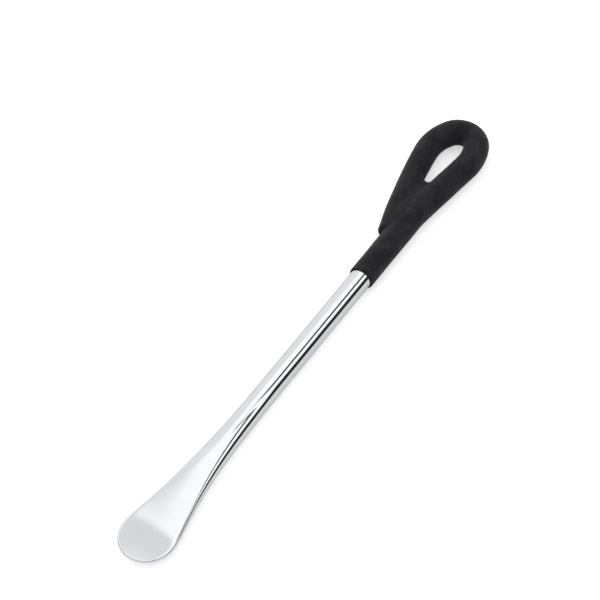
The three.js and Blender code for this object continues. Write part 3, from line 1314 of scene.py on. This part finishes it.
    def build(self, rooms: list[bpy.types.Object], bead_rooms: list[bpy.types.Object]) -> bpy.types.Object:
        """Dip the eye: the skin first, then the room for the bar and the weld inside it.

        Args:
            rooms: The room that the bar takes up.
            bead_rooms: The room that the beads of weld take up.

        Returns:
            The grip, in place on the frame.
        """
        points, faces = self._net()
        points, outward = self._drawn_to_skin(points)
        inland = smooth(0.0, self.smooth_lip, points[:, 0])
        lift = np.zeros(len(points))
        for index, point in enumerate(points):
            wave = noise.noise(Vector(point) / self.wave_size)
            grit = noise.noise(Vector(point) / self.grit_size)
            lift[index] = self.wave_height * wave + self.grit_height * grit
        share = self.lip_share + (1 - self.lip_share) * inland
        points = points + outward * (lift * share)[:, None]
        mesh = bpy.data.meshes.new("dipped_grip")
        mesh.from_pydata((points * MM).tolist(), [], faces.tolist())
        mesh.validate()
        grip = carved(settle(linked("dipped_grip", mesh)), rooms + bead_rooms)
        grip.data.transform(Matrix.Translation(self.placed))
        return grip


# ---- The studio ----


@dataclass
class Studio:
    """A pale table in a white room, with one side of the room left dark, and the camera."""

    azimuth: float = -57.517
    elevation: float = 49.286
    distance: float = 1.25
    lens: float = 182.1
    aim_right: float = -3.55
    aim_up: float = 14.75
    table_height: float = -0.11
    table_half: float = 6.0
    table: str = "#E9E9EA"
    table_glow: float = 0.62
    backdrop: str = "#F8F8F9"
    soft_box: float = 1.46
    wall: float = 1.12
    dark: float = 0.03
    gap: float = 0.03
    behind_ramp: tuple[float, float] = (0.4, 0.55)
    wall_ramp: tuple[float, float] = (0.68, 0.82)
    dark_ramp: tuple[float, float] = (0.43, 0.46)
    rise_ramp: tuple[float, float] = (0.57, 0.7)
    rise: float = 0.36
    slit_normal: tuple[float, float, float] = (0.0, 0.907, 0.421)
    slit_ramp: tuple[float, float] = (0.1, 0.125)
    slit_start: tuple[float, float] = (0.47, 0.5)
    slit_end: tuple[float, float] = (0.6, 0.64)
    dim_slant: float = 0.8
    dim_start: tuple[float, float] = (-0.05, 0.0)
    dim_end: tuple[float, float] = (0.035, 0.105)
    dim_floor: tuple[float, float] = (0.72, 0.8)
    dim_share: float = 0.32

    def camera(self) -> None:
        """Set up the camera, looking down at the lever from the blade's end."""
        turn, rise = math.radians(self.azimuth), math.radians(self.elevation)
        back = Vector((math.sin(turn) * math.cos(rise), -math.cos(turn) * math.cos(rise), math.sin(rise)))
        right = Vector((math.cos(turn), math.sin(turn), 0.0))
        up = back.cross(right)
        aim = (right * self.aim_right + up * self.aim_up) * MM
        made = bpy.data.cameras.new("camera")
        made.lens = self.lens
        made.sensor_width = 36.0
        made.clip_start = 0.05
        eye = bpy.data.objects.new("camera", made)
        bpy.context.scene.collection.objects.link(eye)
        turned = Matrix((right, up, back)).transposed().to_4x4()
        eye.matrix_world = Matrix.Translation(aim + back * self.distance) @ turned
        bpy.context.scene.camera = eye

    def floor(self) -> None:
        """Lay the pale table under the lever."""
        mesh = bpy.data.meshes.new("table_top")
        work = bmesh.new()
        bmesh.ops.create_grid(work, x_segments=1, y_segments=1, size=self.table_half)
        work.to_mesh(mesh)
        work.free()
        mesh.transform(Matrix.Translation((0, 0, self.table_height * MM)))
        paper = bpy.data.materials.new("table_paper")
        paper.use_nodes = True
        tree = paper.node_tree
        shader = tree.nodes["Principled BSDF"]
        shader.inputs["Base Color"].default_value = linear(self.table)
        shader.inputs["Roughness"].default_value = 0.9
        shader.inputs["Specular IOR Level"].default_value = 0.0
        shader.inputs["Emission Color"].default_value = linear(self.table)
        rays = add_node(tree, "ShaderNodeLightPath").outputs["Is Camera Ray"]
        glow = maths(tree, "MULTIPLY", rays, self.table_glow)
        tree.links.new(glow, shader.inputs["Emission Strength"])
        mesh.materials.append(paper)
        linked("table_top", mesh)

    def room(self) -> None:
        """Light the room: soft boxes above, a pale wall behind and a dark, low end by the camera.

        The room is a pattern on the world, read by direction. Each ramp eases from 0 to 1 between two
        values of how far a direction leans one way.
        """
        world = bpy.data.worlds.new("room")
        bpy.context.scene.world = world
        world.use_nodes = True
        tree = world.node_tree
        tree.nodes.clear()
        way = add_node(tree, "ShaderNodeTexCoord").outputs["Generated"]
        apart = add_node(tree, "ShaderNodeSeparateXYZ", {0: way}).outputs

        def along(direction: tuple[float, float, float]) -> bpy.types.NodeSocket:
            """Read how far the view goes in a direction."""
            return vectors(tree, "DOT_PRODUCT", {0: way, 1: direction}).outputs["Value"]

        def ramp(value: bpy.types.NodeSocket, span: tuple[float, float]) -> bpy.types.NodeSocket:
            """Ease from 0 to 1 between two values."""
            inputs = {"Value": value, "From Min": span[0], "From Max": span[1]}
            kind = "SMOOTHSTEP"
            return add_node(tree, "ShaderNodeMapRange", inputs, interpolation_type=kind).outputs["Result"]

        def blend(share: object, first: object, second: object) -> bpy.types.NodeSocket:
            """Blend two strengths by a share."""
            inputs = {0: share, 2: first, 3: second}
            return add_node(tree, "ShaderNodeMix", inputs, data_type="FLOAT").outputs[0]

        def falling(value: bpy.types.NodeSocket, span: tuple[float, float]) -> bpy.types.NodeSocket:
            """Ease from 1 to 0 between two values."""
            return blend(ramp(value, span), 1.0, 0.0)

        times = partial(maths, tree, "MULTIPLY")
        turn = math.radians(self.azimuth)
        ahead = (-math.sin(turn), math.cos(turn), 0.0)
        behind_lever = ramp(along(ahead), self.behind_ramp)
        far_side = blend(ramp(apart["Z"], self.wall_ramp), self.wall, self.soft_box)
        # The blade's edge turns away from the shank, and there the dark end of the room stands higher.
        rise = ramp(apart["X"], self.rise_ramp)
        above = maths(tree, "MULTIPLY_ADD", rise, -self.rise, apart["Z"])
        near_side = blend(ramp(above, self.dark_ramp), self.dark, self.soft_box)
        light = blend(behind_lever, near_side, far_side)
        # A narrow gap between two soft boxes gives the thin line along the shank.
        slit = falling(maths(tree, "ABSOLUTE", along(self.slit_normal)), self.slit_ramp)
        span = times(falling(apart["X"], self.slit_end), ramp(apart["X"], self.slit_start))
        light = blend(times(slit, span), light, self.gap)
        # A patch of the ceiling is dimmer, and the ground face at the blade's tip shows it.
        lean = maths(tree, "MULTIPLY_ADD", apart["Y"], -self.dim_slant, apart["X"])
        dimmed = times(ramp(lean, self.dim_start), falling(lean, self.dim_end))
        dimmed = times(dimmed, ramp(apart["Z"], self.dim_floor))
        light = blend(times(dimmed, self.dim_share), light, 0.0)
        rays = add_node(tree, "ShaderNodeLightPath").outputs["Is Camera Ray"]
        seen = add_node(tree, "ShaderNodeBackground", {"Color": linear(self.backdrop), "Strength": 1.0})
        lit = add_node(tree, "ShaderNodeBackground", {"Strength": light})
        either = add_node(tree, "ShaderNodeMixShader", {0: rays, 1: lit.outputs[0], 2: seen.outputs[0]})
        add_node(tree, "ShaderNodeOutputWorld", {"Surface": either.outputs[0]})

    def build(self) -> None:
        """Set up the whole studio."""
        self.camera()
        self.floor()
        self.room()
        bpy.context.scene.view_settings.view_transform = "Standard"


def lever_origin(frame: dict) -> Vector:
    """Find where the frame puts the middle of the bar at the mouth of the grip.

    Args:
        frame: The loaded frame.

    Returns:
        That place, in metres.
    """
    mounts = {mount["name"]: mount["pos_m"] for mount in frame["record"]["mounts"]}
    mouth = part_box("grip")[0].x
    return Vector((mouth, mounts["blade_back"][1], mounts["hanging_eye"][2]))


def main() -> None:
    """Build the lever piece by piece."""
    logging.basicConfig(level=logging.INFO, format="%(message)s")
    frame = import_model()
    Studio().build()
    chrome, steel, vinyl = ChromePlate().material(), WeldSteel().material(), DippedVinyl().material()
    placed = lever_origin(frame)
    line = BarLine()
    bar = ForgedBar(line, Blade(line), chrome, placed)
    hand_over(bar.build(), "lever_bar", chrome)
    beads = [WeldBead(line, side, steel, placed) for side in Side]
    rooms = bar.rooms(WELD_GAP)
    for bead, node in zip(beads, ("eye_weld_top", "eye_weld_bottom")):
        hand_over(bead.build(rooms), node, steel)
    grip = DippedGrip(line, beads, vinyl, placed)
    bores = bar.rooms(grip.bore_gap)
    bead_rooms = [bead.blank(f"bead_room_{bead.side.name.lower()}", grip.bead_gap, 0.0) for bead in beads]
    hand_over(grip.build(bores, bead_rooms), "grip", vinyl)
    discard([*rooms, *bores, *bead_rooms, bar.section])


if __name__ == "__main__":
    main()
